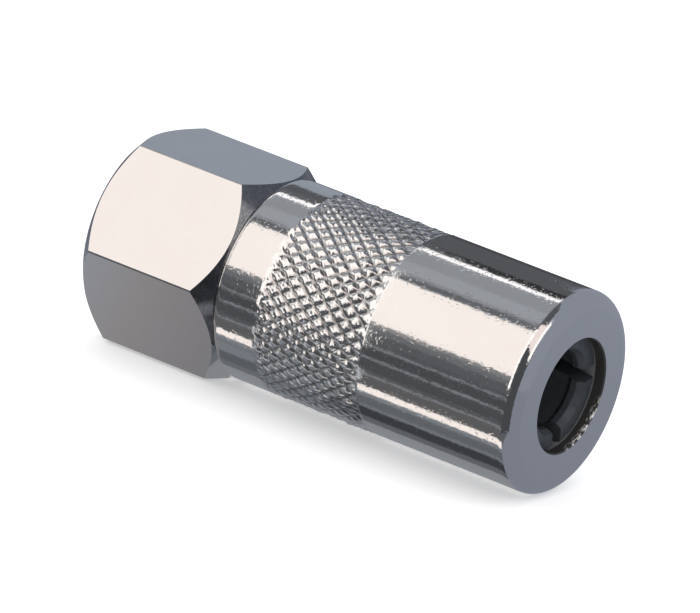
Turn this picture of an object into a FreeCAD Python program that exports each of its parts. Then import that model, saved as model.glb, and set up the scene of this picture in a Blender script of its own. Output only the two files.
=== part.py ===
# Grease coupler with four gripping jaws, for a 1/8-27 NPT grease gun hose.
# The axis is X: the threaded inlet face of the hex is at x = 0 and the nose is at x = LENGTH.
# One flat of the hex faces straight down, with +Z up. Sizes are millimetres.
import FreeCAD
import Part
import math
import os

from FreeCAD import Vector

# Overall
LENGTH = 39.5
SLEEVE_DIAMETER = 16.0
HEX_ACROSS_FLATS = 15.6
HEX_LENGTH = 12.3

# Hex body, outside
HEX_EDGE_RADIUS = 0.2
HEX_INLET_BITE = 0.38
HEX_INLET_CHAMFER_ANGLE = 41.0
HEX_SLEEVE_BITE = 0.19
HEX_SLEEVE_CHAMFER_ANGLE = 48.0
HEX_SLEEVE_LIP_RADIUS = 0.15
SPIGOT_LENGTH = 8.0
SPIGOT_END_CHAMFER = 0.5
SPIGOT_RELIEF_WIDTH = 1.2
SPIGOT_RELIEF_DEPTH = 0.6

# Hex body, inside. The inlet wall stands at the pitch diameter of the pipe thread.
INLET_BORE = 9.48
INLET_DEPTH = 9.0
INLET_COUNTERSINK_DEPTH = 0.4
DRILL_POINT_ANGLE = 118.0
PASSAGE_DIAMETER = 2.5
PASSAGE_LENGTH = 0.8
VALVE_CHAMBER_LENGTH = 0.7
VALVE_CHAMBER_CLEARANCE = 0.35

# Check valve
BALL_DIAMETER = 4.0
BALL_SEAT_CLEARANCE = 0.03
CHECK_SPRING_WIRE = 0.35
CHECK_SPRING_CLEARANCE = 0.3
CHECK_SPRING_TURNS = 6.0

# Piston
PISTON_TRAVEL = 2.4
STEM_DIAMETER = 6.0
STEM_CLEARANCE = 0.05
STEM_END_GAP = 0.2
STEM_LEAD_IN = 0.3
STEM_BORE_LEAD_IN = 0.25
COUNTERBORE_CLEARANCE = 0.15
COUNTERBORE_DEPTH = 5.0
PISTON_PASSAGE = 2.2
FLANGE_CLEARANCE = 0.5
FLANGE_THICKNESS = 0.8
HUB_DIAMETER = 6.8
HUB_LENGTH = 3.6
HUB_WALL = 0.8
SEAL_POCKET_DEPTH = 2.4
PISTON_EDGE_BREAK = 0.1

# Seals
SEAL_FIT = 0.02
SEAL_PROTRUSION = 1.0
SEAL_HOLE = 1.8
SEAL_RIM = 0.4
SEAL_DISH_DEPTH = 1.1
O_RING_CORD = 1.0
O_RING_FIT = 0.03
O_RING_GROOVE_PLAY = 0.2
O_RING_LAND = 1.0

# Return spring. It is nearly closed up when the piston is right back.
SPRING_WIRE = 1.2
SPRING_CLEARANCE = 0.6
SPRING_COIL_GAP = 0.06

# Share of the wire that is ground off each end of a spring
COIL_GRIND = 0.35

# Sleeve
SLEEVE_WALL = 1.4
SLEEVE_THREAD_CLEARANCE = 0.05
SLEEVE_THREAD_RUNOUT = 0.6
SLEEVE_THREAD_STEP = 0.4
SLEEVE_THREAD_LEAD_IN = 0.3
SLEEVE_REAR_GROOVE_WIDTH = 0.3
SLEEVE_REAR_GROOVE_DEPTH = 0.6
SLEEVE_REAR_EDGE_BREAK = 0.08
CONE_HALF_ANGLE = 14.0
NOSE_BORE = 9.0
NOSE_LAND = 0.9
NOSE_BORE_CHAMFER = 0.1
NOSE_EDGE_RADIUS = 1.2
KNURL_FROM_SLEEVE_END = 4.0
KNURL_LENGTH = 9.4
KNURL_DEPTH = 0.2

# Jaws
JAW_COUNT = 4
JAW_TURN = 12.0
JAW_GAP = 1.1
JAW_LENGTH = 9.3
JAW_FRONT_RECESS = 0.1
JAW_CONE_CLEARANCE = 0.04
JAW_CHAMBER_CLEARANCE = 0.1
JAW_HUB_CLEARANCE = 0.35
JAW_LIP = 6.2
JAW_LIP_LENGTH = 0.5
JAW_LEAD_IN = 0.5
JAW_LEAD_IN_RISE = 0.3
JAW_POCKET_RISE = 0.45
JAW_POCKET_LENGTH = 3.3
WASHER_THICKNESS = 0.8
WASHER_HUB_CLEARANCE = 0.05
WASHER_EDGE_STEP = 0.1
WASHER_EDGE_BREAK = 0.1

# Spreader ring
SPREADER_WIRE = 0.8
SPREADER_HUB_CLEARANCE = 0.1
SPREADER_FROM_WASHER = 1.4
SPREADER_OPENING = 24.0
SPREADER_GROOVE_CLEARANCE = 0.04

AXIS = Vector(1, 0, 0)
ORIGIN = Vector(0, 0, 0)

# Radii of the hex and the sleeve
CONE_SLOPE = math.tan(math.radians(CONE_HALF_ANGLE))
SLEEVE_R = SLEEVE_DIAMETER / 2
HEX_FLAT_R = HEX_ACROSS_FLATS / 2
HEX_CORNER_R = HEX_ACROSS_FLATS / math.sqrt(3)
THREAD_R = SLEEVE_R - SLEEVE_WALL
SPIGOT_R = THREAD_R - SLEEVE_THREAD_CLEARANCE
CHAMBER_R = SPIGOT_R - SLEEVE_THREAD_STEP
NOSE_BORE_R = NOSE_BORE / 2
INLET_R = INLET_BORE / 2
PASSAGE_R = PASSAGE_DIAMETER / 2

# Radii of the valve, the piston and the jaws
BALL_R = BALL_DIAMETER / 2
VALVE_CHAMBER_R = BALL_R + VALVE_CHAMBER_CLEARANCE
COUNTERBORE_R = BALL_R + COUNTERBORE_CLEARANCE
CHECK_SPRING_R = COUNTERBORE_R - CHECK_SPRING_CLEARANCE
STEM_R = STEM_DIAMETER / 2
STEM_BORE_R = STEM_R + STEM_CLEARANCE
O_RING_R = STEM_R + O_RING_FIT + O_RING_CORD / 2
HUB_R = HUB_DIAMETER / 2
SEAL_POCKET_R = HUB_R - HUB_WALL
FLANGE_R = CHAMBER_R - FLANGE_CLEARANCE
SPRING_R = CHAMBER_R - SPRING_CLEARANCE
JAW_HEEL_R = CHAMBER_R - PISTON_TRAVEL * CONE_SLOPE - JAW_CHAMBER_CLEARANCE
JAW_BORE_R = HUB_R + JAW_HUB_CLEARANCE
JAW_LIP_R = JAW_LIP / 2
JAW_POCKET_R = JAW_LIP_R + JAW_POCKET_RISE
SPREADER_R = HUB_R + SPREADER_HUB_CLEARANCE + SPREADER_WIRE / 2

# Stations along X, from the inlet
X_DRILL_END = INLET_DEPTH + (INLET_R - PASSAGE_R) / math.tan(math.radians(DRILL_POINT_ANGLE / 2))
X_SEAT = X_DRILL_END + PASSAGE_LENGTH
X_VALVE_CHAMBER = X_SEAT + VALVE_CHAMBER_R - PASSAGE_R
X_STEM_BORE = X_VALVE_CHAMBER + VALVE_CHAMBER_LENGTH
X_STEM_END = X_STEM_BORE + STEM_END_GAP + PISTON_TRAVEL
X_COUNTERBORE_END = X_STEM_END + COUNTERBORE_DEPTH
X_SPIGOT_END = HEX_LENGTH + SPIGOT_LENGTH
X_BALL = X_SEAT - PASSAGE_R + math.sqrt(2) * (BALL_R + BALL_SEAT_CLEARANCE)

# Stations along X, from the nose
X_CONE_END = LENGTH - NOSE_LAND
X_CONE_START = X_CONE_END - (CHAMBER_R - NOSE_BORE_R) / CONE_SLOPE
X_JAW_FRONT = X_CONE_END - JAW_FRONT_RECESS
X_JAW_REAR = X_JAW_FRONT - JAW_LENGTH
X_FLANGE_FRONT = X_JAW_REAR - WASHER_THICKNESS
X_FLANGE_REAR = X_FLANGE_FRONT - FLANGE_THICKNESS
X_HUB_FRONT = X_FLANGE_FRONT + HUB_LENGTH
X_SEAL_REAR = X_HUB_FRONT - SEAL_POCKET_DEPTH
X_SEAL_FRONT = X_HUB_FRONT + SEAL_PROTRUSION
X_SPREADER = X_JAW_REAR + SPREADER_FROM_WASHER


def turned(outline):
    """A solid turned about X from a closed outline of (x, radius) points. A third value is the radius of
    a convex arc that leads to that point from the one before."""
    edges = []
    for here, there in zip(outline, outline[1:] + outline[:1]):
        start = Vector(here[0], 0, here[1])
        end = Vector(there[0], 0, there[1])
        if len(there) == 3:
            chord = end - start
            side = Vector(-chord.z, 0, chord.x).normalize()
            radius = there[2]
            rise = radius - math.sqrt(radius**2 - (chord.Length / 2) ** 2)
            middle = (start + end) * 0.5 + side * rise
            edges.append(Part.Arc(start, middle, end).toShape())
        elif (end - start).Length > 1e-7:
            edges.append(Part.LineSegment(start, end).toShape())
    return Part.Face(Part.Wire(edges)).revolve(ORIGIN, AXIS, 360)


def rod(start, end, radius):
    """A plain cylinder on the axis."""
    return Part.makeCylinder(radius, end - start, Vector(start, 0, 0), AXIS)


def coil(start, end, wire, outer_radius, turns):
    """A compression spring on the axis with its ends ground flat."""
    mean_radius = outer_radius - wire / 2
    grind = wire * COIL_GRIND
    pitch = (end - start - wire + 2 * grind) / turns
    height = pitch * turns
    helix = Part.makeHelix(pitch, height, mean_radius)
    section = Part.Wire(Part.Circle(Vector(mean_radius, 0, 0), Vector(0, 1, 0), wire / 2).toShape())
    spring = Part.Wire(helix).makePipeShell([section], True, True)
    spring.rotate(ORIGIN, Vector(0, 1, 0), 90)
    spring.translate(Vector(start + wire / 2 - grind, 0, 0))
    return spring.common(rod(start, end, outer_radius + wire))


def ring_of_wire(x, mean_radius, wire):
    """A torus about the axis."""
    return Part.makeTorus(mean_radius, wire / 2, Vector(x, 0, 0), AXIS)


def hex_prism():
    """The hex bar with its six long edges rounded, lying on a flat."""
    corners = []
    for k in range(7):
        angle = math.radians(30 + 60 * k)
        corners.append(Vector(0, HEX_CORNER_R * math.sin(angle), HEX_CORNER_R * math.cos(angle)))
    bar = Part.Face(Part.makePolygon(corners)).extrude(AXIS * HEX_LENGTH)
    long_edges = [edge for edge in bar.Edges if edge.BoundBox.XLength > HEX_LENGTH / 2]
    return bar.makeFillet(HEX_EDGE_RADIUS, long_edges)


def hex_chamfers():
    """The turned outline that takes the corners off both ends of the hex."""
    inlet_land = HEX_FLAT_R - HEX_INLET_BITE
    sleeve_land = HEX_FLAT_R - HEX_SLEEVE_BITE
    inlet_rise = (HEX_CORNER_R - inlet_land) * math.tan(math.radians(HEX_INLET_CHAMFER_ANGLE))
    sleeve_angle = math.radians(HEX_SLEEVE_CHAMFER_ANGLE)
    sleeve_rise = (HEX_CORNER_R - sleeve_land) * math.tan(sleeve_angle)
    lip = HEX_SLEEVE_LIP_RADIUS * math.tan(sleeve_angle / 2)
    return turned([
        (0, 0),
        (0, inlet_land),
        (inlet_rise, HEX_CORNER_R),
        (HEX_LENGTH - sleeve_rise, HEX_CORNER_R),
        (HEX_LENGTH - lip * math.sin(sleeve_angle), sleeve_land + lip * math.cos(sleeve_angle)),
        (HEX_LENGTH, sleeve_land - lip, HEX_SLEEVE_LIP_RADIUS),
        (HEX_LENGTH, 0),
    ])


def make_body():
    """Hex with the inlet thread, check valve seat, stem bore and the spigot that the sleeve screws on."""
    relief_end = HEX_LENGTH + SPIGOT_RELIEF_WIDTH
    relief_r = SPIGOT_R - SPIGOT_RELIEF_DEPTH
    root = HEX_LENGTH - SPIGOT_RELIEF_WIDTH
    spigot = turned([
        (root, 0),
        (root, relief_r),
        (relief_end, relief_r),
        (relief_end + SPIGOT_RELIEF_DEPTH, SPIGOT_R),
        (X_SPIGOT_END - SPIGOT_END_CHAMFER, SPIGOT_R),
        (X_SPIGOT_END, SPIGOT_R - SPIGOT_END_CHAMFER),
        (X_SPIGOT_END, 0),
    ])
    groove_r = O_RING_R + O_RING_CORD / 2 + O_RING_FIT
    groove_end = X_SPIGOT_END - O_RING_LAND
    groove_start = groove_end - O_RING_CORD - O_RING_GROOVE_PLAY
    passage = turned([
        (0, 0),
        (0, INLET_R + INLET_COUNTERSINK_DEPTH),
        (INLET_COUNTERSINK_DEPTH, INLET_R),
        (INLET_DEPTH, INLET_R),
        (X_DRILL_END, PASSAGE_R),
        (X_SEAT, PASSAGE_R),
        (X_VALVE_CHAMBER, VALVE_CHAMBER_R),
        (X_STEM_BORE, VALVE_CHAMBER_R),
        (X_STEM_BORE, STEM_BORE_R),
        (groove_start, STEM_BORE_R),
        (groove_start, groove_r),
        (groove_end, groove_r),
        (groove_end, STEM_BORE_R),
        (X_SPIGOT_END - STEM_BORE_LEAD_IN, STEM_BORE_R),
        (X_SPIGOT_END, STEM_BORE_R + STEM_BORE_LEAD_IN),
        (X_SPIGOT_END, 0),
    ])
    return hex_prism().common(hex_chamfers()).fuse(spigot).cut(passage).removeSplitter()


def make_sleeve():
    """Knurled outer sleeve whose inner cone closes the jaws."""
    thread_end = X_SPIGOT_END + SLEEVE_THREAD_RUNOUT
    knurl_start = HEX_LENGTH + KNURL_FROM_SLEEVE_END
    knurl_end = knurl_start + KNURL_LENGTH
    band_r = SLEEVE_R - KNURL_DEPTH / 2
    land_r = SLEEVE_R - SLEEVE_REAR_GROOVE_DEPTH
    x_groove_front = HEX_LENGTH + SLEEVE_REAR_GROOVE_WIDTH
    return turned([
        (HEX_LENGTH + SLEEVE_THREAD_LEAD_IN, THREAD_R),
        (HEX_LENGTH, THREAD_R + SLEEVE_THREAD_LEAD_IN),
        (HEX_LENGTH, land_r),
        (x_groove_front, land_r),
        (x_groove_front, SLEEVE_R - SLEEVE_REAR_EDGE_BREAK),
        (x_groove_front + SLEEVE_REAR_EDGE_BREAK, SLEEVE_R),
        (knurl_start, SLEEVE_R),
        (knurl_start, band_r),
        (knurl_end, band_r),
        (knurl_end, SLEEVE_R),
        (LENGTH - NOSE_EDGE_RADIUS, SLEEVE_R),
        (LENGTH, SLEEVE_R - NOSE_EDGE_RADIUS, NOSE_EDGE_RADIUS),
        (LENGTH, NOSE_BORE_R + NOSE_BORE_CHAMFER),
        (LENGTH - NOSE_BORE_CHAMFER, NOSE_BORE_R),
        (X_CONE_END, NOSE_BORE_R),
        (X_CONE_START, CHAMBER_R),
        (thread_end + THREAD_R - CHAMBER_R, CHAMBER_R),
        (thread_end, THREAD_R),
    ])


def wedge(start, end, apex, half_angle, reach):
    """A sector round +Z, drawn from a point at height apex out past radius reach."""
    half = math.radians(half_angle)
    top = apex + reach
    side = reach * math.tan(half)
    corners = [Vector(start, 0, apex), Vector(start, -side, top), Vector(start, side, top)]
    return Part.Face(Part.makePolygon(corners + corners[:1])).extrude(AXIS * (end - start))


def make_jaw(index):
    """One of the jaws: a sector with an outer cone and an inner lip that grips behind the fitting's head."""
    front_r = NOSE_BORE_R + JAW_FRONT_RECESS * CONE_SLOPE
    front_r -= JAW_CONE_CLEARANCE / math.cos(math.radians(CONE_HALF_ANGLE))
    heel_front = X_JAW_FRONT - (JAW_HEEL_R - front_r) / CONE_SLOPE
    x_lip_front = X_JAW_FRONT - JAW_LEAD_IN
    x_lip_rear = x_lip_front - JAW_LIP_LENGTH
    x_pocket_front = x_lip_rear - JAW_POCKET_RISE
    x_pocket_rear = x_pocket_front - JAW_POCKET_LENGTH
    groove_half = SPREADER_WIRE / 2 + SPREADER_GROOVE_CLEARANCE
    groove_r = SPREADER_R + groove_half
    whole = turned([
        (X_JAW_REAR, JAW_BORE_R),
        (X_JAW_REAR, JAW_HEEL_R),
        (heel_front, JAW_HEEL_R),
        (X_JAW_FRONT, front_r),
        (X_JAW_FRONT, JAW_LIP_R + JAW_LEAD_IN_RISE),
        (x_lip_front, JAW_LIP_R),
        (x_lip_rear, JAW_LIP_R),
        (x_pocket_front, JAW_POCKET_R),
        (x_pocket_rear, JAW_POCKET_R),
        (x_pocket_rear, JAW_BORE_R),
        (X_SPREADER + groove_half, JAW_BORE_R),
        (X_SPREADER + groove_half, groove_r),
        (X_SPREADER - groove_half, groove_r),
        (X_SPREADER - groove_half, JAW_BORE_R),
    ])
    step = 360 / JAW_COUNT
    apex = JAW_GAP / 2 / math.sin(math.radians(step / 2))
    jaw = whole.common(wedge(X_JAW_REAR, X_JAW_FRONT, apex, step / 2, JAW_HEEL_R))
    jaw.rotate(ORIGIN, AXIS, JAW_TURN + step * (index + 0.5))
    return jaw


def make_jaw_washer():
    """Flat ring that the jaws slide on as they open."""
    outer_r = FLANGE_R - WASHER_EDGE_STEP
    inner_r = HUB_R + WASHER_HUB_CLEARANCE
    return turned([
        (X_FLANGE_FRONT, inner_r),
        (X_FLANGE_FRONT, outer_r - WASHER_EDGE_BREAK),
        (X_FLANGE_FRONT + WASHER_EDGE_BREAK, outer_r),
        (X_JAW_REAR - WASHER_EDGE_BREAK, outer_r),
        (X_JAW_REAR, outer_r - WASHER_EDGE_BREAK),
        (X_JAW_REAR, inner_r),
    ])


def make_spreader_ring():
    """Open spring ring inside the jaws that pushes them apart."""
    ring = ring_of_wire(X_SPREADER, SPREADER_R, SPREADER_WIRE)
    reach = SPREADER_R + SPREADER_WIRE
    opening = wedge(X_SPREADER - SPREADER_WIRE, X_SPREADER + SPREADER_WIRE, 0, SPREADER_OPENING / 2, reach)
    opening.rotate(ORIGIN, AXIS, JAW_TURN)
    return ring.cut(opening)


def make_piston():
    """Sliding piston: stem for the body, flange for the spring and hub that holds the seal."""
    passage_r = PISTON_PASSAGE / 2
    edge = PISTON_EDGE_BREAK
    return turned([
        (X_STEM_END, COUNTERBORE_R),
        (X_STEM_END, STEM_R - STEM_LEAD_IN),
        (X_STEM_END + STEM_LEAD_IN, STEM_R),
        (X_FLANGE_REAR, STEM_R),
        (X_FLANGE_REAR, FLANGE_R - edge),
        (X_FLANGE_REAR + edge, FLANGE_R),
        (X_FLANGE_FRONT - edge, FLANGE_R),
        (X_FLANGE_FRONT, FLANGE_R - edge),
        (X_FLANGE_FRONT, HUB_R),
        (X_HUB_FRONT - edge, HUB_R),
        (X_HUB_FRONT, HUB_R - edge),
        (X_HUB_FRONT, SEAL_POCKET_R),
        (X_SEAL_REAR, SEAL_POCKET_R),
        (X_SEAL_REAR, passage_r),
        (X_COUNTERBORE_END, passage_r),
        (X_COUNTERBORE_END, COUNTERBORE_R),
    ])


def make_nipple_seal():
    """Dished rubber seal that the head of the grease fitting presses on."""
    outer_r = SEAL_POCKET_R - SEAL_FIT
    hole_r = SEAL_HOLE / 2
    return turned([
        (X_SEAL_REAR, hole_r),
        (X_SEAL_REAR, outer_r),
        (X_SEAL_FRONT, outer_r),
        (X_SEAL_FRONT, outer_r - SEAL_RIM),
        (X_SEAL_FRONT - SEAL_DISH_DEPTH, hole_r),
    ])


def make_stem_o_ring():
    """Rubber ring in the body's groove that seals the piston stem."""
    x = X_SPIGOT_END - O_RING_LAND - (O_RING_CORD + O_RING_GROOVE_PLAY) / 2
    return ring_of_wire(x, O_RING_R, O_RING_CORD)


def make_return_spring():
    """Spring that pushes the piston and the jaws towards the nose."""
    closed = X_FLANGE_REAR - X_SPIGOT_END - PISTON_TRAVEL
    turns = closed / (SPRING_WIRE + SPRING_COIL_GAP)
    return coil(X_SPIGOT_END, X_FLANGE_REAR, SPRING_WIRE, SPRING_R, turns)


def make_check_ball():
    """Steel ball on the seat behind the inlet."""
    return Part.makeSphere(BALL_R, Vector(X_BALL, 0, 0))


def make_check_spring():
    """Light spring between the ball and the counterbore of the piston stem."""
    inner_r = CHECK_SPRING_R - CHECK_SPRING_WIRE
    start = X_BALL + math.sqrt(BALL_R**2 - inner_r**2) + BALL_SEAT_CLEARANCE
    return coil(start, X_COUNTERBORE_END, CHECK_SPRING_WIRE, CHECK_SPRING_R, CHECK_SPRING_TURNS)


def main():
    os.makedirs("parts", exist_ok=True)
    parts = {
        "body": make_body(),
        "sleeve": make_sleeve(),
        "jaw_washer": make_jaw_washer(),
        "jaw_spreader_ring": make_spreader_ring(),
        "piston": make_piston(),
        "nipple_seal": make_nipple_seal(),
        "stem_o_ring": make_stem_o_ring(),
        "return_spring": make_return_spring(),
        "check_ball": make_check_ball(),
        "check_spring": make_check_spring(),
    }
    for index in range(JAW_COUNT):
        parts[f"jaw_{index + 1}"] = make_jaw(index)
    for name, shape in parts.items():
        solids = shape.Solids
        print(f"{name:18s} solids {len(solids)} valid {shape.isValid()} volume {shape.Volume:9.2f} mm3")
        shape.exportStep(f"parts/{name}.step")


main()
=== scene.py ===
import bpy
import math
from mathutils import Matrix, Vector, noise


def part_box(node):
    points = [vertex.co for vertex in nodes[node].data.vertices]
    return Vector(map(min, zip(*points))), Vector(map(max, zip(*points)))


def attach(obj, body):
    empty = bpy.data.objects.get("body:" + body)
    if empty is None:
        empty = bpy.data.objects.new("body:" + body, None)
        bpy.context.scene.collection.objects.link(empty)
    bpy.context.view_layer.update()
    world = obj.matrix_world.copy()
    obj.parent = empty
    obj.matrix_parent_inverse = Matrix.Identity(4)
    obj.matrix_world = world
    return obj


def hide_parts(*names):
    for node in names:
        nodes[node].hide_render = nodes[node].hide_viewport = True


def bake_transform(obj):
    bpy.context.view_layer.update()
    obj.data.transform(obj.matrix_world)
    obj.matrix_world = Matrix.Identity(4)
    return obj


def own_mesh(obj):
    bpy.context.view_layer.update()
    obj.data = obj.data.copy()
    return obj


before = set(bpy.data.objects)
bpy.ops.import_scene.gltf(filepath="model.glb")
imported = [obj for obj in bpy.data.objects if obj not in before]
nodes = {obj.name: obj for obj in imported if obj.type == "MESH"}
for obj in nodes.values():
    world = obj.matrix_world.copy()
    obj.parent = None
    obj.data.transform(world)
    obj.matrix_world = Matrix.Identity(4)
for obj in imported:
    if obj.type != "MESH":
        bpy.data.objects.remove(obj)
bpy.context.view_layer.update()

# Metres in a millimetre and in a micrometre
MM = 0.001
MICRON = 0.000001

# Sizes that the CAD source has too, in millimetres
LENGTH = 39.5
SLEEVE_R = 8.0
HEX_LENGTH = 12.3
SLEEVE_WALL = 1.4
SPIGOT_END = 20.3
THREAD_RUNOUT = 0.6
CHAMBER_R = 6.15
CONE_SLOPE = math.tan(math.radians(14.0))
NOSE_BORE_R = 4.5
NOSE_LAND = 0.9
NOSE_BORE_CHAMFER = 0.1
NOSE_EDGE_RADIUS = 1.2
SLEEVE_LEAD_IN = 0.3
REAR_GROOVE_WIDTH = 0.3
REAR_GROOVE_DEPTH = 0.6
REAR_EDGE_BREAK = 0.08
KNURL_START = 16.3
KNURL_END = 25.7
INLET_R = 4.74
FLANGE_REAR = 27.6

# Knurl: starts each way round, axial length of a diamond, mesh steps across it, how flat each diamond's top is,
# how high it stands above its grooves and above the sleeve, the length over which it fades out at its ends,
# how unevenly it is rolled, and over what distances that changes, as scales of noise
KNURL_STARTS = 43
KNURL_PITCH = 1.5
KNURL_STEPS = 14
KNURL_FLAT = 2.2
KNURL_RELIEF = 0.22
KNURL_RISE = 0.06
KNURL_RUNOUT = 0.4
KNURL_UNEVEN = 0.3
KNURL_UNEVEN_SCALES = (1.3, 0.4)

# Tracks that the knurling wheel left between its grooves: height, how many to a diamond, and the stretch along the
# axis over which they fade out
KNURL_TRACKS = 0.018
TRACKS_PER_DIAMOND = 2.0
TRACKS_FADE = (20.0, 25.0)

# Rings of the sleeve's mesh: how far those that hold a plain band straight lie from its ends, the ring right in
# front of the knurl, the ring that holds the nose face flat, and the steps round the nose edge. An edge break is
# rounded through a ring at this share of it.
BAND_RING = 0.3
KNURL_END_RING = 0.06
FACE_RING = 0.2
NOSE_EDGE_STEPS = 18
EDGE_BREAK_SHARE = 0.3

# 1/8-27 NPT thread in the inlet: pitch, where it starts, length, height of its crest, half the widths of its foot (in
# pitches) and crest, how deep the foot goes into the wall, how fast the crest fades out at the ends, and mesh steps
# in a turn
THREAD_PITCH = 25.4 / 27
THREAD_START = 0.45
THREAD_LENGTH = 8.2
THREAD_CREST = 0.36
THREAD_HALF_FOOT = 0.46
THREAD_HALF_CREST = 0.07
THREAD_FOOT_DEPTH = 0.02
THREAD_FADE = 12
THREAD_STEPS = 72

# Springs: wire, outer radius and turns
RETURN_SPRING = (1.2, 5.55, 4.6)
CHECK_SPRING = (0.35, 1.85, 6.5)

# Share of the check spring's turns that closes with the ball. The rest closes with the piston.
CHECK_SPRING_SPLIT = 0.4

# Closed turns at each end of a spring, how many wires they rise in a turn, and mesh steps in a turn and round the wire
CLOSED_TURNS = 0.75
CLOSED_RISE = 0.5
SPRING_STEPS = 56
WIRE_STEPS = 12


# Mesh helpers

def new_object(name, verts, faces, sharp_angle=24.0):
    """A mesh object from points in millimetres."""
    mesh = bpy.data.meshes.new(name)
    mesh.from_pydata([(x * MM, y * MM, z * MM) for x, y, z in verts], [], faces)
    mesh.validate()
    mesh.polygons.foreach_set("use_smooth", [True] * len(mesh.polygons))
    mesh.set_sharp_from_angle(angle=math.radians(sharp_angle))
    obj = bpy.data.objects.new(name, mesh)
    bpy.context.scene.collection.objects.link(obj)
    return obj


def ring_point(x, radius, angle):
    """A point at an angle round the axis, counted from straight up towards the camera."""
    return (x, -radius * math.sin(angle), radius * math.cos(angle))


def lathe(outline, segments, radius_at):
    """Points and faces of a closed outline of (x, radius) turned about X. radius_at gives the radius at each step
    round, from the number of the ring, that of the step and the outline's radius."""
    verts = []
    count = len(outline)
    for i, (x, r) in enumerate(outline):
        for j in range(segments):
            verts.append(ring_point(x, radius_at(i, j, r), 2 * math.pi * j / segments))
    faces = []
    for i in range(count):
        k = (i + 1) % count
        for j in range(segments):
            m = (j + 1) % segments
            faces.append((i * segments + j, i * segments + m, k * segments + m, k * segments + j))
    return verts, faces


# The sleeve with its knurl

def sleeve_outline():
    """(outline, index of the first and of the last ring of the knurl)."""
    thread_r = SLEEVE_R - SLEEVE_WALL
    thread_end = SPIGOT_END + THREAD_RUNOUT
    cone_end = LENGTH - NOSE_LAND
    cone_start = cone_end - (CHAMBER_R - NOSE_BORE_R) / CONE_SLOPE
    groove_front = HEX_LENGTH + REAR_GROOVE_WIDTH
    break_middle = REAR_EDGE_BREAK * EDGE_BREAK_SHARE
    outline = [
        (HEX_LENGTH + SLEEVE_LEAD_IN, thread_r),
        (HEX_LENGTH, thread_r + SLEEVE_LEAD_IN),
        (HEX_LENGTH, SLEEVE_R - REAR_GROOVE_DEPTH),
        (groove_front, SLEEVE_R - REAR_GROOVE_DEPTH),
        (groove_front, SLEEVE_R - REAR_EDGE_BREAK),
        (groove_front + break_middle, SLEEVE_R - break_middle),
        (groove_front + REAR_EDGE_BREAK, SLEEVE_R),
        (groove_front + BAND_RING, SLEEVE_R),
        (KNURL_START - BAND_RING, SLEEVE_R),
    ]
    first = len(outline)
    step = KNURL_PITCH / KNURL_STEPS
    rings = int(round((KNURL_END - KNURL_START) / step))
    for i in range(rings + 1):
        outline.append((KNURL_START + (KNURL_END - KNURL_START) * i / rings, SLEEVE_R))
    last = len(outline) - 1
    centre_x = LENGTH - NOSE_EDGE_RADIUS
    centre_r = SLEEVE_R - NOSE_EDGE_RADIUS
    outline += [
        (KNURL_END + KNURL_END_RING, SLEEVE_R),
        (KNURL_END + BAND_RING, SLEEVE_R),
        (centre_x - BAND_RING, SLEEVE_R),
    ]
    for i in range(NOSE_EDGE_STEPS + 1):
        angle = math.pi / 2 * (1 - i / NOSE_EDGE_STEPS)
        x = centre_x + NOSE_EDGE_RADIUS * math.cos(angle)
        outline.append((x, centre_r + NOSE_EDGE_RADIUS * math.sin(angle)))
    outline += [
        (LENGTH, centre_r - FACE_RING),
        (LENGTH, NOSE_BORE_R + NOSE_BORE_CHAMFER),
        (LENGTH - NOSE_BORE_CHAMFER, NOSE_BORE_R),
        (cone_end, NOSE_BORE_R),
        (cone_start, CHAMBER_R),
        (thread_end + thread_r - CHAMBER_R, CHAMBER_R),
        (thread_end, thread_r),
    ]
    return outline, first, last


def build_sleeve():
    """The sleeve in one turned mesh. The knurl's faces are split along its grooves, so that these stay sharp."""
    outline, first, last = sleeve_outline()
    segments = KNURL_STARTS * KNURL_STEPS

    def crest(count):
        """1 on a crest and 0 at the bottom of a groove, for a step count across the diamonds."""
        part = (count % KNURL_STEPS) / KNURL_STEPS
        return 1 - abs(part * 2 - 1) ** KNURL_FLAT

    def radius_at(i, j, r):
        if not first <= i <= last:
            return r
        row = i - first
        angle = 2 * math.pi * j / segments
        spot = Vector((outline[i][0], r * math.sin(angle), r * math.cos(angle)))
        uneven = KNURL_UNEVEN * sum(noise.noise(spot * scale) for scale in KNURL_UNEVEN_SCALES)
        depth = KNURL_RELIEF * (1 - crest(row + j) * crest(row - j) * (1 + uneven - KNURL_UNEVEN))
        from_end = min(row, last - i) * KNURL_PITCH / KNURL_STEPS
        return r + (KNURL_RISE - max(0.0, depth)) * min(1.0, from_end / KNURL_RUNOUT)

    verts, faces = lathe(outline, segments, radius_at)
    split = []
    for index, face in enumerate(faces):
        i, j = divmod(index, segments)
        if first <= i < last:
            row = i - first
            a, b, c, d = face
            if (row + j + 1) % KNURL_STEPS == 0:
                split += [(a, b, d), (b, c, d)]
            else:
                split += [(a, b, c), (a, c, d)]
        else:
            split.append(face)
    return new_object("knurled_sleeve", verts, split)


# The pipe thread in the inlet

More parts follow.
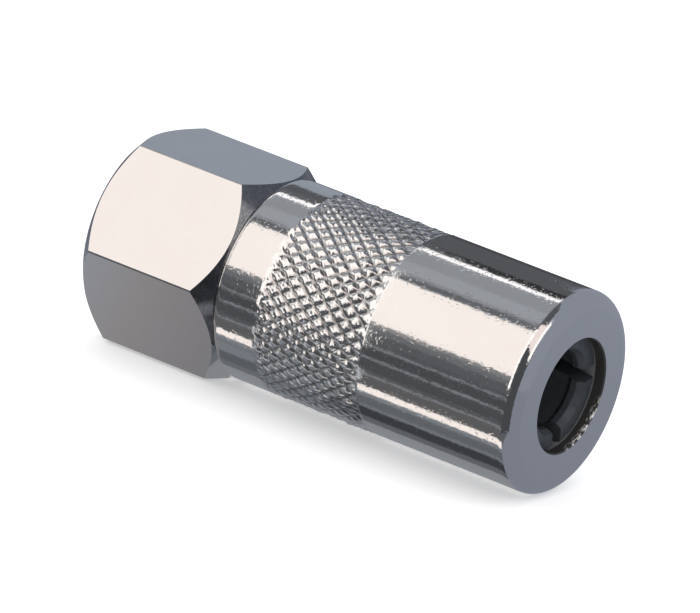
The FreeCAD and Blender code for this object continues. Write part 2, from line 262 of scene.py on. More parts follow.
def build_thread():
    """Ridge that winds along the inlet wall and fades out at both ends."""
    turns = THREAD_LENGTH / THREAD_PITCH
    count = int(turns * THREAD_STEPS)
    half_foot = THREAD_PITCH * THREAD_HALF_FOOT
    foot = INLET_R + THREAD_FOOT_DEPTH
    verts = []
    faces = []
    for i in range(count + 1):
        share = i / count
        angle = 2 * math.pi * i / THREAD_STEPS
        x = THREAD_START + THREAD_PITCH / 2 + (THREAD_LENGTH - THREAD_PITCH) * share
        fade = min(1.0, share * THREAD_FADE, (1 - share) * THREAD_FADE)
        crest = INLET_R - max(THREAD_FOOT_DEPTH, THREAD_CREST * fade)
        section = ((-half_foot, foot), (-THREAD_HALF_CREST, crest), (THREAD_HALF_CREST, crest), (half_foot, foot))
        for dx, r in section:
            verts.append(ring_point(x + dx, r, angle))
        if i:
            base = 4 * i
            for k in range(3):
                faces.append((base - 4 + k, base + k, base + k + 1, base - 3 + k))
    faces.append((3, 2, 1, 0))
    last = 4 * count
    faces.append((last, last + 1, last + 2, last + 3))
    return new_object("inlet_pipe_thread", verts, faces)


# Springs

def build_spring(name, start, end, wire, outer_r, turns, share=(0.0, 1.0)):
    """Closed and ground compression spring, as a tube along its helix. share is the stretch of it to build.
    Gives the object, and where the stretch ends."""
    mean_r = outer_r - wire / 2
    first = int(turns * SPRING_STEPS * share[0])
    last = int(turns * SPRING_STEPS * share[1])
    free = end - start - wire
    closed = CLOSED_TURNS * CLOSED_RISE * wire
    verts = []
    faces = []
    for i in range(first, last + 1):
        turn = i / SPRING_STEPS
        if turn < CLOSED_TURNS:
            rise = turn * CLOSED_RISE * wire
        elif turn > turns - CLOSED_TURNS:
            rise = free - (turns - turn) * CLOSED_RISE * wire
        else:
            rise = closed + (free - 2 * closed) * (turn - CLOSED_TURNS) / (turns - 2 * CLOSED_TURNS)
        x = start + wire / 2 + rise
        for k in range(WIRE_STEPS):
            t = 2 * math.pi * k / WIRE_STEPS
            along = min(max(x + wire / 2 * math.sin(t), start), end)
            verts.append(ring_point(along, mean_r + wire / 2 * math.cos(t), 2 * math.pi * turn))
        if i > first:
            base = WIRE_STEPS * (i - first)
            for k in range(WIRE_STEPS):
                m = (k + 1) % WIRE_STEPS
                faces.append((base - WIRE_STEPS + k, base - WIRE_STEPS + m, base + m, base + k))
    faces.append(tuple(reversed(range(WIRE_STEPS))))
    ring = WIRE_STEPS * (last - first)
    faces.append(tuple(range(ring, ring + WIRE_STEPS)))
    return new_object(name, verts, faces), x


# Materials

class Nodes:
    """Short names for the few shader nodes that are used."""

    def __init__(self, name):
        self.material = bpy.data.materials.new(name)
        self.material.use_nodes = True
        self.tree = self.material.node_tree
        self.shader = self.tree.nodes["Principled BSDF"]

    def add(self, kind, **inputs):
        node = self.tree.nodes.new(kind)
        for key, value in inputs.items():
            self.feed(node, key.replace("_", " "), value)
        return node

    def feed(self, node, key, value):
        socket = node.inputs[int(key)] if key.isdigit() else node.inputs[key]
        if isinstance(value, bpy.types.NodeSocket):
            self.tree.links.new(value, socket)
        else:
            socket.default_value = value

    def math(self, operation, a, b=0.0):
        node = self.tree.nodes.new("ShaderNodeMath")
        node.operation = operation
        self.feed(node, "0", a)
        self.feed(node, "1", b)
        return node.outputs[0]

    def noise(self, vector, scale, detail=2.0, roughness=0.5):
        node = self.add("ShaderNodeTexNoise", Vector=vector, Scale=scale, Detail=detail, Roughness=roughness)
        return node.outputs["Fac"]

    def combine(self, x, y, z):
        node = self.tree.nodes.new("ShaderNodeCombineXYZ")
        for index, value in enumerate((x, y, z)):
            self.feed(node, str(index), value)
        return node.outputs[0]

    def remap(self, value, low, high, to_low, to_high):
        node = self.tree.nodes.new("ShaderNodeMapRange")
        for index, item in enumerate((value, low, high, to_low, to_high)):
            self.feed(node, str(index), item)
        return node.outputs[0]

    def mix_colour(self, factor, a, b):
        node = self.tree.nodes.new("ShaderNodeMix")
        node.data_type = "RGBA"
        self.tree.links.new(factor, node.inputs[0])
        for index, value in ((6, a), (7, b)):
            if isinstance(value, bpy.types.NodeSocket):
                self.tree.links.new(value, node.inputs[index])
            else:
                node.inputs[index].default_value = (*value, 1.0)
        return node.outputs[2]

    def bump(self, height, microns, normal=None):
        node = self.add("ShaderNodeBump", Height=height, Distance=microns * MICRON, Strength=1.0)
        if normal is not None:
            self.feed(node, "Normal", normal)
        return node.outputs[0]

    def place(self):
        """(vector in millimetres, x, y, z, radius from the axis)."""
        coords = self.tree.nodes.new("ShaderNodeTexCoord")
        scale = self.tree.nodes.new("ShaderNodeVectorMath")
        scale.operation = "SCALE"
        self.tree.links.new(coords.outputs["Object"], scale.inputs[0])
        scale.inputs["Scale"].default_value = 1 / MM
        split = self.tree.nodes.new("ShaderNodeSeparateXYZ")
        self.tree.links.new(scale.outputs[0], split.inputs[0])
        x, y, z = split.outputs
        radius = self.math("SQRT", self.math("ADD", self.math("MULTIPLY", y, y), self.math("MULTIPLY", z, z)))
        return scale.outputs[0], x, y, z, radius

    def round_marks(self, place, across, along, detail, roughness):
        """Noise drawn out round the axis, as a lathe leaves it."""
        _, x, y, z, radius = place
        vector = self.combine(self.math("MULTIPLY", x, across), self.math("MULTIPLY", radius, across),
                              self.math("MULTIPLY", self.math("ADD", y, z), along))
        return self.noise(vector, 1.0, detail, roughness)

    def long_marks(self, place, along, across, detail, roughness):
        """Noise drawn out along the axis."""
        _, x, y, z, _ = place
        vector = self.combine(self.math("MULTIPLY", x, along), self.math("MULTIPLY", y, across),
                              self.math("MULTIPLY", z, across))
        return self.noise(vector, 1.0, detail, roughness)

    def finish(self, colour, metallic, roughness, normal=None):
        self.tree.links.new(colour, self.shader.inputs["Base Color"])
        self.shader.inputs["Metallic"].default_value = metallic
        self.feed(self.shader, "Roughness", roughness)
        if normal is not None:
            self.feed(self.shader, "Normal", normal)
        return self.material


PLATE_COLOUR = (0.80, 0.795, 0.785)
STAIN_COLOUR = (0.76, 0.74, 0.71)
# Dark colour of the knurl's grooves: partly residue, partly painted shade
GROOVE_DIRT_AND_SHADE = (0.24, 0.235, 0.23)
BORE_EDGE_DARK = (0.05, 0.047, 0.045)
# Painted highlight: the bright colour of glints on the nose bore's edge
BORE_EDGE_GLINT = (0.95, 0.91, 0.86)
# Painted shade: the dark colour of the hex's chamfers that don't face down
CHAMFER_SHADE_COLOUR = (0.20, 0.20, 0.21)


def plate_normal(n, vector, waves_scale, peel, marks, marks_height):
    """Polished plate: orange peel, the marks given, a fine haze, small bumps and sparse tiny pits. Microns."""
    normal = n.bump(n.noise(vector, waves_scale, 2.0, 0.5), peel)
    normal = n.bump(marks, marks_height, normal)
    normal = n.bump(n.noise(vector, 14.0, 3.0, 0.6), 0.12, normal)
    normal = n.bump(n.noise(vector, 5.0, 2.0, 0.5), 2.8, normal)
    pits = n.remap(n.noise(vector, 4.0, 1.0, 0.5), 0.60, 0.76, 0.0, 1.0)
    return n.bump(pits, 4.5, normal)


def stained_plate(n, vector, scale):
    """The plate's colour, with faint stains."""
    stain = n.remap(n.noise(vector, scale, 4.0, 0.6), 0.4, 0.75, 0.0, 0.35)
    return n.mix_colour(stain, PLATE_COLOUR, STAIN_COLOUR)


def turned_plate(name):
    """Polished plate on turned steel: fine marks round the axis, slight orange peel and a few handling marks."""
    n = Nodes(name)
    place = n.place()
    vector = place[0]
    normal = plate_normal(n, vector, 1.5, 6.0, n.round_marks(place, 9.0, 0.12, 4.0, 0.65), 0.35)
    rough = n.remap(n.long_marks(place, 0.25, 6.0, 5.0, 0.75), 0.45, 0.75, 0.06, 0.16)
    return n.finish(stained_plate(n, vector, 0.35), 1.0, rough, normal)


def hex_plate(name):
    """Polished plate on a drawn hex bar: faint draw lines along it."""
    n = Nodes(name)
    place = n.place()
    vector = place[0]
    normal = plate_normal(n, vector, 0.55, 4.0, n.long_marks(place, 0.12, 5.0, 4.0, 0.6), 0.5)
    rough = n.remap(n.noise(vector, 2.2, 5.0, 0.7), 0.4, 0.75, 0.06, 0.17)
    return n.finish(stained_plate(n, vector, 0.4), 1.0, rough, normal)


def chamfer_plate(name):
    """Plate on a turned chamfer that was never polished: dull, with marks that run round the axis. Its dark colour is
    painted shade.
    """
    n = Nodes(name)
    place = n.place()
    vector = place[0]
    lines = n.round_marks(place, 9.0, 1.6, 3.0, 0.6)
    rough = n.remap(n.noise(vector, 3.0, 3.0, 0.6), 0.35, 0.7, 0.12, 0.25)
    tone = n.remap(n.noise(vector, 5.0, 3.0, 0.6), 0.45, 0.7, 0.0, 1.0)
    light = tuple(channel * 1.5 for channel in CHAMFER_SHADE_COLOUR)
    return n.finish(n.mix_colour(tone, CHAMFER_SHADE_COLOUR, light), 1.0, rough, n.bump(lines, 8.0))


def bore_edge(name):
    """Dark edge of the nose bore, with a painted highlight: bright glints in dashes along its low side, away from the
    camera, near the nose face.
    """
    n = Nodes(name)
    vector, x, y, z, _ = n.place()
    # Painted highlight: glints in dashes on the low side of the edge, away from the camera, close to the nose face
    glint_side = n.remap(n.math("SUBTRACT", y, z), 5.2, 6.2, 0.0, 1.0)
    glint_side = n.math("MULTIPLY", glint_side, n.remap(x, LENGTH - 0.5, LENGTH - 0.15, 0.0, 1.0))
    glint_dashes = n.remap(n.noise(n.combine(n.math("MULTIPLY", x, 3.0), y, z), 2.4, 2.0, 0.6), 0.48, 0.58, 0.0, 1.0)
    colour = n.mix_colour(n.math("MULTIPLY", glint_side, glint_dashes), BORE_EDGE_DARK, BORE_EDGE_GLINT)
    return n.finish(colour, 0.3, 0.3, n.bump(n.noise(vector, 6.0, 3.0, 0.6), 20.0))


def knurl_plate(name):
    """Plate on the knurl: bright crests, and in the bottoms of the grooves a dark colour that is partly dull residue
    and partly painted shade.
    """
    n = Nodes(name)
    vector, x, y, z, radius = n.place()
    bottom = SLEEVE_R + KNURL_RISE - KNURL_RELIEF
    # Darker towards the bottoms of the grooves: residue there, and painted shade
    depth = n.remap(radius, bottom, bottom + KNURL_RELIEF * 0.3, 1.0, 0.0)
    dirt_and_shade = n.math("MULTIPLY", depth, n.remap(n.noise(vector, 3.0, 3.0, 0.6), 0.3, 0.7, 0.5, 1.0))
    colour = n.mix_colour(dirt_and_shade, PLATE_COLOUR, GROOVE_DIRT_AND_SHADE)
    rough = n.remap(depth, 0.0, 1.0, 0.13, 0.30)
    normal = n.bump(n.noise(vector, 2.6, 3.0, 0.6), 30.0)
    turns = n.math("MULTIPLY", n.math("ARCTAN2", y, z), KNURL_STARTS)
    along = n.math("MULTIPLY", n.math("SUBTRACT", x, KNURL_START), 2 * math.pi / KNURL_PITCH)
    wave = n.math("COSINE", n.math("MULTIPLY", n.math("ADD", along, turns), TRACKS_PER_DIAMOND))
    tracks = n.math("MULTIPLY", wave, n.remap(x, *TRACKS_FADE, -1.0, 0.0))
    return n.finish(colour, 1.0, rough, n.bump(tracks, KNURL_TRACKS * MM / MICRON, normal))


def dark_steel(name, base, worn, low, high, metallic=1.0):
    """Hardened or drawn steel with a dull, slightly mottled surface. Blackened steel is less metallic."""
    n = Nodes(name)
    place = n.place()
    vector = place[0]
    mottle = n.remap(n.noise(vector, 1.3, 4.0, 0.6), 0.35, 0.7, 0.0, 1.0)
    colour = n.mix_colour(mottle, base, worn)
    rough = n.remap(n.noise(vector, 8.0, 4.0, 0.7), 0.3, 0.7, low, high)
    return n.finish(colour, metallic, rough, n.bump(n.round_marks(place, 12.0, 0.3, 3.0, 0.6), 2.0))


def seal_rubber(name):
    """Black rubber with a film of grease."""
    n = Nodes(name)
    vector = n.place()[0]
    grease = n.remap(n.noise(vector, 1.2, 4.0, 0.6), 0.42, 0.6, 0.0, 1.0)
    colour = n.mix_colour(grease, (0.075, 0.08, 0.09), (0.10, 0.098, 0.096))
    rough = n.remap(grease, 0.0, 1.0, 0.62, 0.38)
    return n.finish(colour, 0.0, rough, n.bump(n.noise(vector, 16.0, 3.0, 0.6), 6.0))


def give(obj, *materials):
    obj.data.materials.clear()
    for material in materials:
        obj.data.materials.append(material)


# The pieces that scene.py adds. All but the check spring's rear coils go on the coupler body.

sleeve = build_sleeve()
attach(sleeve, "coupler_body")
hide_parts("sleeve")

thread = build_thread()
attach(thread, "coupler_body")

return_spring, _ = build_spring("return_spring_coil", SPIGOT_END, FLANGE_REAR, *RETURN_SPRING)
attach(return_spring, "coupler_body")
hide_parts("return_spring")
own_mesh(return_spring)

check_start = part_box("check_spring")[0][0] / MM
check_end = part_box("check_spring")[1][0] / MM
check_size = (check_start, check_end, *CHECK_SPRING)
check_rear, check_middle = build_spring("check_spring_rear_coils", *check_size, (0.0, CHECK_SPRING_SPLIT))
check_front, _ = build_spring("check_spring_front_coils", *check_size, (CHECK_SPRING_SPLIT, 1.0))
for obj in (check_rear, check_front):
    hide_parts("check_spring")
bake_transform(check_rear)
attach(check_front, "coupler_body")
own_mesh(check_front)


# Which material each piece has. The sleeve and the body have more than one, given by face.

plate_hex = hex_plate("plate_hex")
jaw_steel = dark_steel("jaw_steel", (0.052, 0.060, 0.070), (0.070, 0.077, 0.086), 0.38, 0.55, metallic=0.25)
inner_steel = dark_steel("inner_steel", (0.22, 0.23, 0.25), (0.30, 0.30, 0.30), 0.35, 0.55, metallic=0.3)
piston_steel = dark_steel("piston_steel", (0.40, 0.40, 0.40), (0.50, 0.50, 0.49), 0.25, 0.42)
wire_steel = dark_steel("wire_steel", (0.30, 0.30, 0.31), (0.42, 0.42, 0.42), 0.25, 0.40)
ball_steel = dark_steel("ball_steel", (0.62, 0.62, 0.63), (0.70, 0.70, 0.71), 0.05, 0.10)
rubber = seal_rubber("rubber")

# Slots of the sleeve, after its plain plate, and of the body, after its polished plate
KNURL_SLOT = 1
INSIDE_SLOT = 2
BORE_EDGE_SLOT = 3
CHAMFER_SLOT = 1

# What tells the faces apart: how far past the grooves' bottoms and the inner wall they are looked for, how close to
# the nose face the bore's edge ends, and for the hex's chamfers how far along the axis they face, how far down
# at most, and how far inside the sleeve's radius they start
GROOVE_MARGIN = 0.05
WALL_MARGIN = 0.1
NOSE_FACE_MARGIN = 0.001
CHAMFER_FACING = (0.3, 0.97)
CHAMFER_FACING_DOWN = -0.4
CHAMFER_DEPTH = 0.7

give(sleeve, turned_plate("plate_turned"), knurl_plate("plate_knurl"), inner_steel, bore_edge("plate_bore_edge"))
for polygon in sleeve.data.polygons:
    x = polygon.center.x / MM
    radius = math.hypot(polygon.center.y, polygon.center.z) / MM
    if radius > SLEEVE_R - KNURL_RELIEF - GROOVE_MARGIN and KNURL_START <= x <= KNURL_END:
        polygon.material_index = KNURL_SLOT
    elif radius < SLEEVE_R - SLEEVE_WALL + WALL_MARGIN and x < LENGTH - NOSE_LAND:
        polygon.material_index = INSIDE_SLOT
    elif radius < NOSE_BORE_R + NOSE_BORE_CHAMFER and x < LENGTH - NOSE_FACE_MARGIN:
        polygon.material_index = BORE_EDGE_SLOT

# The hex's chamfers are dull and painted dark as shade, but for those that face down, which keep the polished plate
body = nodes["body"]
give(body, plate_hex, chamfer_plate("plate_chamfer"))
for polygon in body.data.polygons:
    centre = body.matrix_world @ polygon.center / MM
    facing = (body.matrix_world.to_3x3() @ polygon.normal).normalized()
    turned = CHAMFER_FACING[0] < abs(facing.x) < CHAMFER_FACING[1]
    outside = math.hypot(centre.y, centre.z) > SLEEVE_R - CHAMFER_DEPTH
    if turned and outside and facing.z > CHAMFER_FACING_DOWN:
        polygon.material_index = CHAMFER_SLOT

give(thread, plate_hex)
for name in ("jaw_1", "jaw_2", "jaw_3", "jaw_4"):
    give(nodes[name], jaw_steel)
for name in ("piston", "jaw_washer"):
    give(nodes[name], piston_steel)
for obj in (return_spring, check_rear, check_front, nodes["jaw_spreader_ring"]):
    give(obj, wire_steel)
give(nodes["check_ball"], ball_steel)
for name in ("nipple_seal", "stem_o_ring"):
    give(nodes[name], rubber)


# Studio: glowing cards that only reflections see, on and round a white floor. Millimetres and degrees.

FLOOR_Z = -SLEEVE_R - KNURL_RISE
FLOOR_DROP = 0.01
FLOOR_HALF = 2000.0
FLOOR_GLOW = 0.32
WORLD_STRENGTH = 1.1
CARD_LIFT = 0.03
ARC_STEPS = 10
RIM_STEPS = 24
RIM_FAR = 260.0
RIM_LIFT = 0.001

# The camera sees the sleeve's side at angle a from straight up by way of a reflection at 2a - CAMERA_ANGLE.
# All the angles of panels and strips are such reflection angles, counted from straight up towards the camera.
CAMERA_ANGLE = 69.7
CAMERA_BACK = Vector((0.4770, -0.8245, 0.3050)).normalized()
CAMERA_RIGHT = Vector((0.8184, 0.5432, 0.1881))

# The photo's warm white, its blue greys, and the floor that the hex's lower flat shows from front to rear
WARM = (1.17, 1.07, 1.025)
BLUE_GREY = (0.29, 0.31, 0.37)
HEX_SIDE_GREY = (0.322, 0.356, 0.418)
NOSE_LOW = (0.235, 0.258, 0.313)
NOSE_HIGH = (0.283, 0.31, 0.376)
HEX_FLOOR_FRONT = (0.24, 0.235, 0.25)
HEX_FLOOR = (0.30, 0.29, 0.30)
HEX_FLOOR_REAR = (0.33, 0.35, 0.40)

# How the floor that the nose and the back show gets lighter away from the part: along y, from 0 to 50
NOSE_FADE = (1, 0, 50, NOSE_HIGH)

# Along the axis: where the floor under the hex starts and ends (further forwards right underneath), where the
# stretch without the bright stripe beside the knurl starts and ends, and where the floor that the nose shows starts
HEX_FLOOR_START = 2
HEX_FLOOR_END = 8.8
HEX_FLOOR_END_MIDDLE = HEX_FLOOR_END + 0.8
HEX_FLOOR_END_LOW = HEX_FLOOR_END + 1.9
STRIPE_REAR_END = 13.2
STRIPE_FRONT_START = 21.5
NOSE_FLOOR_START = 38.5

# Reflection angles of the bright stripe on the floor, and of the two steps at the end of the floor under the hex
STRIPE_LOW = 144.6
STRIPE_HIGH = 152.6
HEX_STEP_MIDDLE = 155.5
HEX_STEP_LOW = 162.0


def emission(name, colour, fade=None):
    """Plain glow. fade is (axis, from, to, other colour), where from and to are places in millimetres."""
    n = Nodes(name)
    n.tree.nodes.remove(n.shader)
    glow = n.add("ShaderNodeEmission", Strength=1.0)
    if fade:
        axis, low, high, other = fade
        share = n.remap(n.place()[1 + axis], low, high, 0.0, 1.0)
        n.feed(glow, "Color", n.mix_colour(share, colour, other))
    else:
        n.feed(glow, "Color", (*colour, 1.0))
    n.tree.links.new(glow.outputs[0], n.tree.nodes["Material Output"].inputs[0])
    return n.material


def add_card(name, colour, verts, faces, fade=None):
    """A glowing card that only reflections see."""
    card = new_object(name, verts, faces)
    give(card, emission(name, colour, fade))
    card.visible_camera = False
    card.visible_diffuse = False
    card.visible_transmission = False
    card.visible_volume_scatter = False
    card.visible_shadow = False
    card.visible_glossy = True


def arc_card(name, colour, low, high, distance=250.0, x0=-420.0, x1=-25.0):
    """A card bent round the axis, from angle low to high, counted from straight up towards the camera."""
    verts = []
    faces = []
    for i in range(ARC_STEPS + 1):
        angle = math.radians(low + (high - low) * i / ARC_STEPS)
        verts += [ring_point(x0, distance, angle), ring_point(x1, distance, angle)]
        if i:
            faces.append((2 * i - 2, 2 * i - 1, 2 * i + 1, 2 * i))
    add_card(name, colour, verts, faces)


def flat_card(name, colour, points, fade=None):
    """A flat card from its corners."""
    add_card(name, colour, points, [tuple(range(len(points)))], fade)


def floor_card(name, colour, x0, x1, y0, y1, fade=None):
    """A rectangle that lies on the floor."""
    z = FLOOR_Z + CARD_LIFT
    flat_card(name, colour, [(x0, y0, z), (x1, y0, z), (x1, y1, z), (x0, y1, z)], fade)


def grey(value, warmth=0.0):
    """A grey that is a little blue, or a little warm."""
    return (value * (0.95 + warmth), value, value * (1.09 - warmth))


def floor_y(angle):
    """Where the floor shows in the sleeve's side at a reflection angle past the horizon."""
    side = math.radians((angle + CAMERA_ANGLE) / 2)
    y = -SLEEVE_R * math.sin(side)
    z = SLEEVE_R * math.cos(side)
    way = math.radians(angle)
    return y - math.sin(way) * (z - FLOOR_Z) / -math.cos(way)


def floor_strip(name, colour, low, high, x0, x1):
    """A card on the floor that the sleeve's side shows from one reflection angle to the next."""
    floor_card(name, colour, x0, x1, floor_y(low), floor_y(high))


def add_panels():
    """Everything above the horizon. The sleeve's side sees the panels up to x = -60."""
    arc_card("panel_key", WARM, 20.0, 73.0, x0=-250.0, x1=-48.0)
    arc_card("panel_key_end", (1.35, 1.3, 1.28), 20.0, 86.0, 155.0, -16.0, 20.0)
    arc_card("panel_key_edge", grey(0.34), 18.5, 20.0, x1=-48.0)
    arc_card("panel_sky_dark", grey(0.14), 12.5, 18.5, x1=-48.0)
    arc_card("panel_sky_dim", grey(0.30), 9.0, 12.5, x1=-52.0)
    arc_card("panel_sky", grey(0.395), -6.0, 9.0, x1=-55.0)
    arc_card("panel_sky_far", grey(0.33), -27.0, -6.0, x1=-58.0)
    arc_card("panel_stripe", grey(1.3, 0.07), -33.0, -26.5, x1=-58.0)
    arc_card("panel_stripe_edge", grey(0.13), -43.0, -33.0, x1=-102.0)
    arc_card("panel_stripe_dark", grey(0.035), -43.0, -33.0, x0=-102.0, x1=-68.0)
    arc_card("card_rear_high", grey(0.11), -62.0, -43.0, x1=-74.0)
    arc_card("card_behind_panels", grey(0.20), -66.0, 91.0, 330.0, -420.0, 290.0)
    arc_card("card_rear_dark", grey(0.07), -100.0, -80.0, 100.0, -31.0, -11.0)
    arc_card("card_rear_barrel", grey(0.105), -80.0, -55.0, 100.0, -31.0, -11.0)
    arc_card("card_rear_nose", BLUE_GREY, -100.0, -55.0, 100.0, -11.0, 200.0)
    arc_card("card_rear_hex", HEX_SIDE_GREY, -100.0, -55.0, 100.0, -300.0, -31.0)
    arc_card("card_front_high", grey(0.25, 0.05), 73.0, 77.0, 160.0, -420.0, -25.0)
    arc_card("card_front", grey(0.17), 77.0, 83.0, 160.0, -420.0, -15.0)
    arc_card("card_front_low", grey(0.115), 83.0, 92.0, 160.0, -420.0, 60.0)


def add_floor_strips():
    """Dark floor in front with three thin light lines, a bright stripe close by and grey underneath."""
    far_strips = [
        ("floor_dark_far", grey(0.095), 90.5, 96.8),
        ("floor_line_far", grey(0.25), 96.8, 99.2),
        ("floor_dark_outer", grey(0.078), 99.2, 110.4),
        ("floor_line_outer", grey(0.27), 110.4, 112.7),
        ("floor_dark_middle", grey(0.085), 112.7, 125.0),
        ("floor_dark_inner", grey(0.11), 125.0, 129.2),
        ("floor_line_inner", grey(0.25), 129.2, 131.8),
        ("floor_near", grey(0.125, 0.04), 131.8, STRIPE_LOW),
    ]
    for name, colour, low, high in far_strips:
        floor_strip(name, colour, low, high, -420.0, 40.0)

    # Underneath, with another tone as far as the knurl's front end where one is given
    near_strips = [
        ("floor_under_edge", None, 0.24, STRIPE_HIGH, HEX_STEP_MIDDLE, HEX_FLOOR_END),
        ("floor_under_light", None, 0.24, HEX_STEP_MIDDLE, 158.5, HEX_FLOOR_END_MIDDLE),
        ("floor_under_dim", 0.20, 0.15, 158.5, HEX_STEP_LOW, HEX_FLOOR_END_MIDDLE),
        ("floor_under_deep", 0.235, 0.15, HEX_STEP_LOW, 170.0, HEX_FLOOR_END_LOW),
        ("floor_under_line", 0.235, 0.21, 170.0, 175.0, HEX_FLOOR_END_LOW),
        ("floor_under_black", 0.13, 0.055, 175.0, 190.0, HEX_FLOOR_END_LOW),
        ("floor_under_dark", 0.17, 0.14, 190.0, 201.0, HEX_FLOOR_END_LOW),
    ]
    for name, rear_tone, tone, low, high, start in near_strips:
        if rear_tone:
            floor_strip(name + "_rear", grey(rear_tone, -0.03), low, high, start, STRIPE_FRONT_START)
            start = STRIPE_FRONT_START
        floor_strip(name, grey(tone, -0.03), low, high, start, NOSE_FLOOR_START)
    floor_strip("floor_under_far", grey(0.285), 201.0, 237.0, HEX_FLOOR_END_LOW, NOSE_FLOOR_START)
    floor_strip("floor_stripe_rear", WARM, STRIPE_LOW, STRIPE_HIGH, HEX_FLOOR_END, STRIPE_REAR_END)
    floor_strip("floor_stripe_gap", grey(0.24, -0.03), STRIPE_LOW, STRIPE_HIGH, STRIPE_REAR_END, STRIPE_FRONT_START)
    floor_strip("floor_stripe_front", WARM, STRIPE_LOW, STRIPE_HIGH, STRIPE_FRONT_START, NOSE_FLOOR_START)


def rim_card(name, colour, corners, distance):
    """A card that the camera sees in the round nose edge as a four-sided patch. Its corners are (azimuth from
    straight up towards the camera, tilt forwards): two along the patch's rear edge, then two along its front.
    What would lie below the floor is laid on it, the nearer cards a little higher."""
    verts = []
    faces = []
    lift = CARD_LIFT + (RIM_FAR - distance) * RIM_LIFT
    for i in range(RIM_STEPS + 1):
        for j in range(RIM_STEPS + 1):
            u = i / RIM_STEPS
            v = j / RIM_STEPS
            weights = ((1 - u) * (1 - v), u * (1 - v), u * v, (1 - u) * v)
            azimuth = math.radians(sum(w * c[0] for w, c in zip(weights, corners)))
            tilt = math.radians(sum(w * c[1] for w, c in zip(weights, corners)))
            normal = Vector(ring_point(math.sin(tilt), math.cos(tilt), azimuth))
            spot = Vector(ring_point(LENGTH - NOSE_EDGE_RADIUS, SLEEVE_R - NOSE_EDGE_RADIUS, azimuth))
            spot += normal * NOSE_EDGE_RADIUS
            way = normal * (2 * normal.dot(CAMERA_BACK)) - CAMERA_BACK
            reach = distance
            if way.z < 0:
                reach = min(reach, (spot.z - FLOOR_Z - lift) / -way.z)
            verts.append(tuple(spot + way * reach))
    for i in range(RIM_STEPS):
        for j in range(RIM_STEPS):
            a = i * (RIM_STEPS + 1) + j
            faces.append((a, a + 1, a + RIM_STEPS + 2, a + RIM_STEPS + 1))
    add_card(name, colour, verts, faces)


def add_nose_cards():
    """What the round nose edge shows: a dark band along its rear half, with a bright patch near the top."""
    rim_card("rim_patch", (1.05, 0.92, 0.90), [(39, 9), (52, 12), (57, 33), (37, 33)], 190.0)
    rim_card("rim_patch_line", (1.3, 1.27, 1.25), [(33, 32), (60, 32), (61, 40), (35, 40)], 185.0)
    rim_card("rim_dark_top", grey(0.10), [(19, 9), (40, 7), (40, 27), (25, 27)], 205.0)
    rim_card("rim_dark", grey(0.075), [(38, 13), (104, 12), (102, 41), (52, 42)], 205.0)
    rim_card("rim_dark_low", grey(0.13), [(104, 16), (113, 18), (108, 24), (102, 38)], 205.0)
    rim_card("rim_grey_high", NOSE_HIGH, [(-25, 7), (20, 7), (40, 50), (-78, 88)], 215.0)
    rim_card("rim_grey_middle", NOSE_HIGH, [(18, 9), (78, 30), (78, 89), (18, 89)], 220.0)
    rim_card("rim_grey_front", NOSE_LOW, [(76, 39), (108, 37), (108, 89), (76, 89)], 220.0)
    rim_card("rim_grey_low", NOSE_LOW, [(102, 17), (190, 17), (190, 89), (102, 89)], 215.0)
    floor_card("floor_nose_side", NOSE_LOW, 30, 200, 0, 250, NOSE_FADE)
    upright = [(225, y, z) for y, z in ((-350, FLOOR_Z), (350, FLOOR_Z), (350, 350), (-350, 350))]
    flat_card("card_nose_grey", NOSE_HIGH, upright)


def near_arc(name, colour, low, high, distance, x0, x1):
    """A card close to the sleeve, over which its side shows one reflection angle to the next."""
    def polar(angle):
        side = math.radians((angle + CAMERA_ANGLE) / 2)
        way = math.radians(angle)
        along = SLEEVE_R * math.cos(way - side)
        reach = -along + math.sqrt(along * along + distance * distance - SLEEVE_R * SLEEVE_R)
        y = SLEEVE_R * math.sin(side) + reach * math.sin(way)
        z = SLEEVE_R * math.cos(side) + reach * math.cos(way)
        return math.degrees(math.atan2(y, z))
    arc_card(name, colour, polar(low), polar(high), distance, x0, x1)


def add_knurl_cards():
    """Close to the knurl, so that only its diamonds show them."""
    near_arc("panel_knurl_front", WARM, 20.5, 72.5, 25.0, 16.3, 23.5)
    near_arc("panel_knurl", (1.3, 1.24, 1.21), 8.0, 101.0, 25.0, 7.6, 16.3)
    near_arc("card_knurl_low", (0.53, 0.545, 0.58), 126.0, 140.0, 14.0, 13.2, 22.5)


def add_hex_floor():
    """What the hex's lower flat shows, and the floor behind the part."""
    front = (0, HEX_FLOOR_START, 10, HEX_FLOOR_FRONT)
    stripe = floor_y(STRIPE_LOW)
    middle = floor_y(HEX_STEP_MIDDLE)
    low = floor_y(HEX_STEP_LOW)
    floor_card("floor_under_hex_rear", HEX_FLOOR_REAR, -14, HEX_FLOOR_START, stripe, -2,
               (0, -5, HEX_FLOOR_START, HEX_FLOOR))
    floor_card("floor_under_hex_edge", HEX_FLOOR, HEX_FLOOR_START, HEX_FLOOR_END, stripe, middle, front)
    floor_card("floor_under_hex", HEX_FLOOR, HEX_FLOOR_START, HEX_FLOOR_END_LOW, low, -2, front)
    floor_card("floor_under_hex_middle", HEX_FLOOR, HEX_FLOOR_START, HEX_FLOOR_END_MIDDLE, middle, low, front)
    floor_card("floor_back", NOSE_LOW, -300, 30, 4, 50, NOSE_FADE)
    floor_card("floor_rear", grey(0.12), -200, 30, 50, 160)


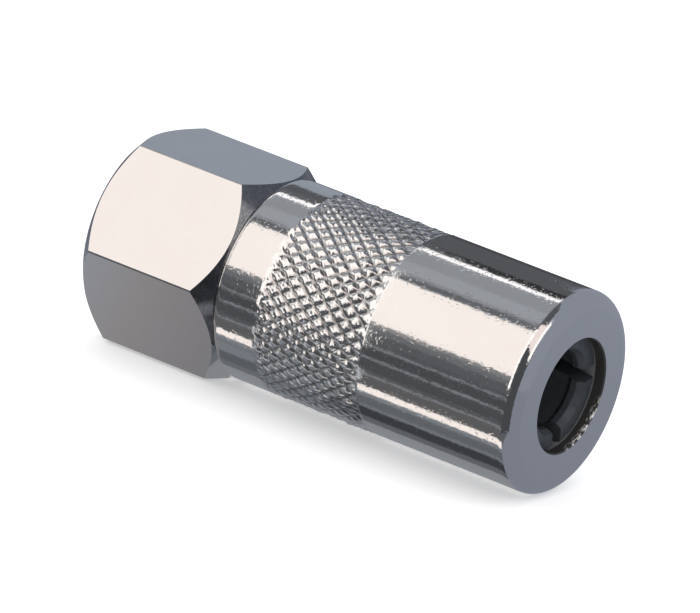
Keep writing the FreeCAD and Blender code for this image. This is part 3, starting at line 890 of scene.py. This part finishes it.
def add_floor():
    """White paper. What sees it straight, or by mirror or glass, also gets a little glow from it."""
    z = FLOOR_Z - FLOOR_DROP
    verts = [(x * FLOOR_HALF, y * FLOOR_HALF, z) for x, y in ((-1, -1), (1, -1), (1, 1), (-1, 1))]
    floor = new_object("studio_floor", verts, [(0, 1, 2, 3)])
    n = Nodes("studio_paper")
    vector = n.place()[0]
    tint = n.remap(n.noise(vector, 0.05, 2.0), 0.3, 0.7, 0.0, 1.0)
    colour = n.mix_colour(tint, (0.915, 0.915, 0.918), (0.925, 0.925, 0.925))
    give(floor, n.finish(colour, 0.0, 0.9))
    n.shader.inputs["Specular IOR Level"].default_value = 0.0
    path = n.tree.nodes.new("ShaderNodeLightPath")
    seen = n.math("MAXIMUM", path.outputs["Is Camera Ray"], path.outputs["Is Glossy Ray"])
    seen = n.math("MAXIMUM", seen, path.outputs["Is Transmission Ray"])
    n.shader.inputs["Emission Color"].default_value = (1.0, 1.0, 1.0, 1.0)
    n.feed(n.shader, "Emission Strength", n.math("MULTIPLY", seen, FLOOR_GLOW))


def add_world():
    """Plain white light from all sides."""
    world = bpy.data.worlds.new("studio")
    world.use_nodes = True
    background = world.node_tree.nodes["Background"]
    background.inputs["Color"].default_value = (1.0, 1.0, 1.0, 1.0)
    background.inputs["Strength"].default_value = WORLD_STRENGTH
    bpy.context.scene.world = world


# Camera, fitted to the photo: the picture's size and where the nose's centre is in it, in pixels, the scale there,
# and the distance, the sensor and the clipping range

IMAGE_WIDTH = 700
IMAGE_HEIGHT = 613
NOSE_PIXEL = (571.8, 396.4)
PIXELS_PER_MM = 13.52
DISTANCE = 660.0
SENSOR_WIDTH = 36.0
CLIP_RANGE = (0.01, 20.0)


def add_camera():
    """The camera that the photo was taken with, as far as the outline tells."""
    back = CAMERA_BACK
    right = (CAMERA_RIGHT - back * CAMERA_RIGHT.dot(back)).normalized()
    up = back.cross(right)
    across = (NOSE_PIXEL[0] - IMAGE_WIDTH / 2) / PIXELS_PER_MM
    above = (IMAGE_HEIGHT / 2 - NOSE_PIXEL[1]) / PIXELS_PER_MM
    place = Vector((LENGTH, 0, 0)) - right * across - up * above + back * DISTANCE
    data = bpy.data.cameras.new("camera")
    data.sensor_width = SENSOR_WIDTH
    data.lens = PIXELS_PER_MM * DISTANCE / IMAGE_WIDTH * data.sensor_width
    data.clip_start, data.clip_end = CLIP_RANGE
    camera = bpy.data.objects.new("camera", data)
    turn = Matrix((right, up, back)).transposed().to_4x4()
    camera.matrix_world = Matrix.Translation(place * MM) @ turn
    bpy.context.scene.collection.objects.link(camera)
    bpy.context.scene.camera = camera


add_panels()
add_floor_strips()
add_nose_cards()
add_knurl_cards()
add_hex_floor()
add_floor()
add_world()
add_camera()
bpy.context.scene.view_settings.view_transform = "Standard"
